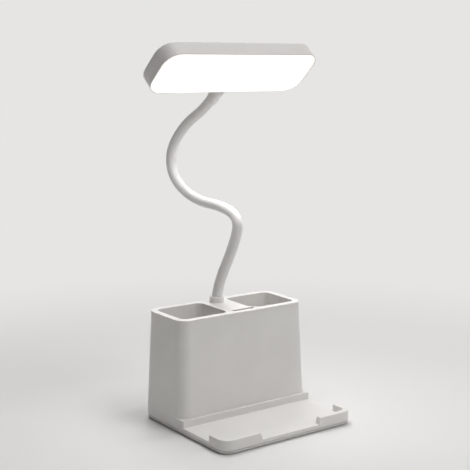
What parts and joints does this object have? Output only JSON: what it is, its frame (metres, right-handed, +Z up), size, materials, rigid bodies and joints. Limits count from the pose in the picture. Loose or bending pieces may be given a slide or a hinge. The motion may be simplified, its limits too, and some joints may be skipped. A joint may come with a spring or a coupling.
{
  "type": "desk lamp",
  "caption": "Desk lamp with a flat lit head on a bendable neck, a holder with two pen cups and a phone channel with a notched lip.",
  "frame": {"origin": "middle of the anti-slip pad's underside, on the surface that the lamp stands on", "axes": "+X to the right along the width, +Y from the phone channel to the back, +Z up"},
  "size_m": [0.1863, 0.1927, 0.3547],
  "materials": {
    "white_plastic": "satin",
    "grey_foam": "matt",
    "steel": "bright",
    "weight_iron": "rough",
    "cell_wrap": "gloss",
    "green_board": "gloss",
    "black_plastic": "satin",
    "wire_cover": "satin",
    "copper": "bright",
    "opal_plastic": "satin",
    "board_aluminium": "satin",
    "led_yellow": "gloss",
    "white_silicone": "matt"
  },
  "bodies": {
    "base": {"base_housing": "white_plastic", "bottom_cover": "white_plastic", "foot_pad": "grey_foam", "cover_screws": "steel", "cell": "cell_wrap", "cell_foam": "grey_foam", "counterweights": "weight_iron", "control_board": "green_board", "board_screws": "steel", "board_parts": "black_plastic", "usb_port": "steel", "usb_tongue": "black_plastic", "lamp_plug": "black_plastic", "lamp_wire": "wire_cover", "cup_insert": "white_plastic", "touch_electrode": "copper", "neck_collar": "white_plastic", "neck_stud": "steel", "neck_washer": "steel", "neck_nut": "steel", "neck_sleeve_1": "white_silicone", "neck_core_1": "steel"},
    "neck_2": {"neck_sleeve_2": "white_silicone", "neck_core_2": "steel"},
    "neck_3": {"neck_sleeve_3": "white_silicone", "neck_core_3": "steel"},
    "neck_4": {"neck_sleeve_4": "white_silicone", "neck_core_4": "steel"},
    "neck_5": {"neck_sleeve_5": "white_silicone", "neck_core_5": "steel"},
    "neck_6": {"neck_sleeve_6": "white_silicone", "neck_core_6": "steel"},
    "neck_7": {"neck_sleeve_7": "white_silicone", "neck_core_7": "steel"},
    "neck_8": {"neck_sleeve_8": "white_silicone", "neck_core_8": "steel"},
    "head": {"head_ferrule": "white_plastic", "neck_stub": "steel", "neck_clamp": "steel", "clamp_screws": "steel", "head_shell": "white_plastic", "diffuser": "opal_plastic", "led_board": "board_aluminium", "leds": "led_yellow", "led_screws": "steel", "neck_sleeve_9": "white_silicone", "neck_core_9": "steel"}
  },
  "joints": [
    {"name": "neck_bend_1", "type": "hinge", "parent": "base", "child": "neck_2", "pos_m": [0.00076, 0.04306, 0.13394], "axis": [0.9954, 0.0958, 0], "range_deg": [-20, 20]},
    {"name": "neck_sway_2", "type": "hinge", "parent": "neck_2", "child": "neck_3", "pos_m": [0.00158, 0.03458, 0.14956], "axis": [-0.0842, 0.874, 0.4786], "range_deg": [-20, 20]},
    {"name": "neck_bend_3", "type": "hinge", "parent": "neck_3", "child": "neck_4", "pos_m": [0.0028, 0.02193, 0.17945], "axis": [-0.9954, -0.0958, 0], "range_deg": [-20, 20]},
    {"name": "neck_bend_4", "type": "hinge", "parent": "neck_4", "child": "neck_5", "pos_m": [-0.00076, 0.05885, 0.20046], "axis": [0.9954, 0.0958, 0], "range_deg": [-20, 20]},
    {"name": "neck_sway_5", "type": "hinge", "parent": "neck_5", "child": "neck_6", "pos_m": [-0.00501, 0.10306, 0.21107], "axis": [0.0446, -0.4632, 0.8852], "range_deg": [-20, 20]},
    {"name": "neck_bend_6", "type": "hinge", "parent": "neck_6", "child": "neck_7", "pos_m": [-0.00669, 0.12048, 0.2327], "axis": [-0.9954, -0.0958, 0], "range_deg": [-20, 20]},
    {"name": "neck_sway_7", "type": "hinge", "parent": "neck_7", "child": "neck_8", "pos_m": [-0.00588, 0.11205, 0.25942], "axis": [-0.0728, 0.7558, 0.6508], "range_deg": [-20, 20]},
    {"name": "neck_bend_8", "type": "hinge", "parent": "neck_8", "child": "head", "pos_m": [-0.00299, 0.08206, 0.2843], "axis": [0.9954, 0.0958, 0], "range_deg": [-20, 20]}
  ]
}
